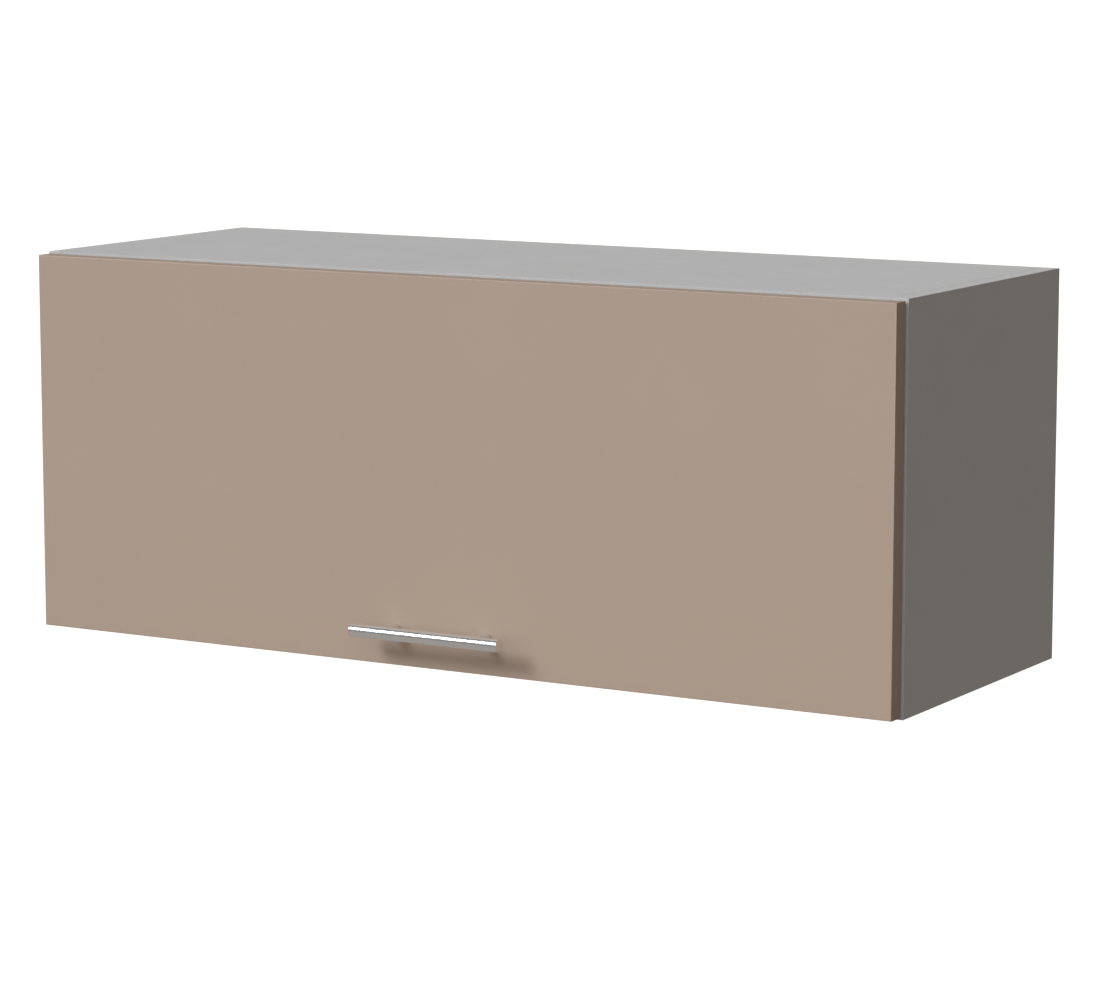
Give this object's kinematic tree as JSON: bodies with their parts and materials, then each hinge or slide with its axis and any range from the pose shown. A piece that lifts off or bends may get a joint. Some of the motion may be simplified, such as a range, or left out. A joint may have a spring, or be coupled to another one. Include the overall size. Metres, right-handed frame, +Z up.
{
  "type": "lift up wall cabinet",
  "caption": "Wide, low kitchen wall cabinet with one flap door that swings up on concealed cup hinges, held by gas struts, with a bar handle at its lower edge.",
  "frame": {"origin": "middle of the carcass's rear bottom edge, on the wall's surface", "axes": "+X to the right seen from the front, +Y into the wall, +Z up; the door faces -Y"},
  "size_m": [0.9, 0.3745, 0.36],
  "materials": {
    "carcass_board": "pale grey melamine, satin",
    "back_board": "pale grey lacquered fibreboard",
    "door_board": "taupe lacquer, satin",
    "bar_steel": "brushed, satin",
    "plated_steel": "nickel plated",
    "zinc_alloy": "bare zinc die casting",
    "dowel_beech": "raw beech",
    "hanger_plastic": "moulded, matt",
    "strut_tube": "grey paint, semi gloss",
    "clear_rubber": "soft, translucent look"
  },
  "bodies": {
    "carcass": {"side_panel_left": "carcass_board", "side_panel_right": "carcass_board", "top_panel": "carcass_board", "bottom_panel": "carcass_board", "back_panel": "back_board", "cam_bottom_left_front": "zinc_alloy", "cam_bolt_bottom_left_front": "plated_steel", "cam_bottom_left_rear": "zinc_alloy", "cam_bolt_bottom_left_rear": "plated_steel", "dowel_bottom_left": "dowel_beech", "cam_bottom_right_front": "zinc_alloy", "cam_bolt_bottom_right_front": "plated_steel", "cam_bottom_right_rear": "zinc_alloy", "cam_bolt_bottom_right_rear": "plated_steel", "dowel_bottom_right": "dowel_beech", "cam_top_left_front": "zinc_alloy", "cam_bolt_top_left_front": "plated_steel", "cam_top_left_rear": "zinc_alloy", "cam_bolt_top_left_rear": "plated_steel", "dowel_top_left": "dowel_beech", "cam_top_right_front": "zinc_alloy", "cam_bolt_top_right_front": "plated_steel", "cam_top_right_rear": "zinc_alloy", "cam_bolt_top_right_rear": "plated_steel", "dowel_top_right": "dowel_beech", "hinge_arm_left": "plated_steel", "hinge_plate_left": "zinc_alloy", "hinge_screw_left_left": "plated_steel", "hinge_screw_left_right": "plated_steel", "strut_side_bracket_left": "plated_steel", "hanger_housing_left": "hanger_plastic", "hanger_hook_left": "plated_steel", "hinge_arm_right": "plated_steel", "hinge_plate_right": "zinc_alloy", "hinge_screw_right_left": "plated_steel", "hinge_screw_right_right": "plated_steel", "strut_side_bracket_right": "plated_steel", "hanger_housing_right": "hanger_plastic", "hanger_hook_right": "plated_steel"},
    "door": {"hinge_cup_left": "plated_steel", "strut_door_bracket_left": "plated_steel", "handle_post_left": "bar_steel", "handle_screw_left": "plated_steel", "door_bumper_left": "clear_rubber", "hinge_cup_right": "plated_steel", "strut_door_bracket_right": "plated_steel", "handle_post_right": "bar_steel", "handle_screw_right": "plated_steel", "door_bumper_right": "clear_rubber", "door_panel": "door_board", "handle_bar": "bar_steel"},
    "hinge_outer_link_left": {"hinge_outer_link_left": "plated_steel"},
    "hinge_inner_link_left": {"hinge_inner_link_left": "plated_steel"},
    "strut_cylinder_left": {"strut_cylinder_left": "strut_tube"},
    "strut_rod_left": {"strut_rod_left": "plated_steel"},
    "hinge_outer_link_right": {"hinge_outer_link_right": "plated_steel"},
    "hinge_inner_link_right": {"hinge_inner_link_right": "plated_steel"},
    "strut_cylinder_right": {"strut_cylinder_right": "strut_tube"},
    "strut_rod_right": {"strut_rod_right": "plated_steel"}
  },
  "joints": [
    {"name": "door_lift", "type": "hinge", "parent": "carcass", "child": "door", "pos_m": [0, -0.332, 0.3524], "axis": [-1, 0, 0], "range_deg": [0, 90]},
    {"name": "outer_link_turn_left", "type": "hinge", "parent": "carcass", "child": "hinge_outer_link_left", "pos_m": [-0.35, -0.32541, 0.3271], "axis": [1, 0, 0], "range_deg": [0, 34.18]},
    {"name": "inner_link_turn_left", "type": "hinge", "parent": "carcass", "child": "hinge_inner_link_left", "pos_m": [-0.35, -0.32793, 0.3361], "axis": [1, 0, 0], "range_deg": [0, 27.46]},
    {"name": "strut_swing_left", "type": "hinge", "parent": "carcass", "child": "strut_cylinder_left", "pos_m": [-0.42, -0.22, 0.154], "axis": [1, 0, 0], "range_deg": [0, 16.84]},
    {"name": "strut_slide_left", "type": "slide", "parent": "strut_cylinder_left", "child": "strut_rod_left", "axis": [0, -0.5003, 0.8659], "range_m": [0, 0.08449]},
    {"name": "outer_link_turn_right", "type": "hinge", "parent": "carcass", "child": "hinge_outer_link_right", "pos_m": [0.35, -0.32541, 0.3271], "axis": [1, 0, 0], "range_deg": [0, 34.18]},
    {"name": "inner_link_turn_right", "type": "hinge", "parent": "carcass", "child": "hinge_inner_link_right", "pos_m": [0.35, -0.32793, 0.3361], "axis": [1, 0, 0], "range_deg": [0, 27.46]},
    {"name": "strut_swing_right", "type": "hinge", "parent": "carcass", "child": "strut_cylinder_right", "pos_m": [0.42, -0.22, 0.154], "axis": [1, 0, 0], "range_deg": [0, 16.84]},
    {"name": "strut_slide_right", "type": "slide", "parent": "strut_cylinder_right", "child": "strut_rod_right", "axis": [0, -0.5003, 0.8659], "range_m": [0, 0.08449]}
  ],
  "couplings": [
    {"joint": "outer_link_turn_left", "follows": "door_lift", "ratio": 0.37982},
    {"joint": "inner_link_turn_left", "follows": "door_lift", "ratio": 0.30506},
    {"joint": "strut_swing_left", "follows": "door_lift", "ratio": 0.18706},
    {"joint": "strut_slide_left", "follows": "door_lift", "m_per_rad": 0.053785},
    {"joint": "outer_link_turn_right", "follows": "door_lift", "ratio": 0.37982},
    {"joint": "inner_link_turn_right", "follows": "door_lift", "ratio": 0.30506},
    {"joint": "strut_swing_right", "follows": "door_lift", "ratio": 0.18706},
    {"joint": "strut_slide_right", "follows": "door_lift", "m_per_rad": 0.053785}
  ]
}
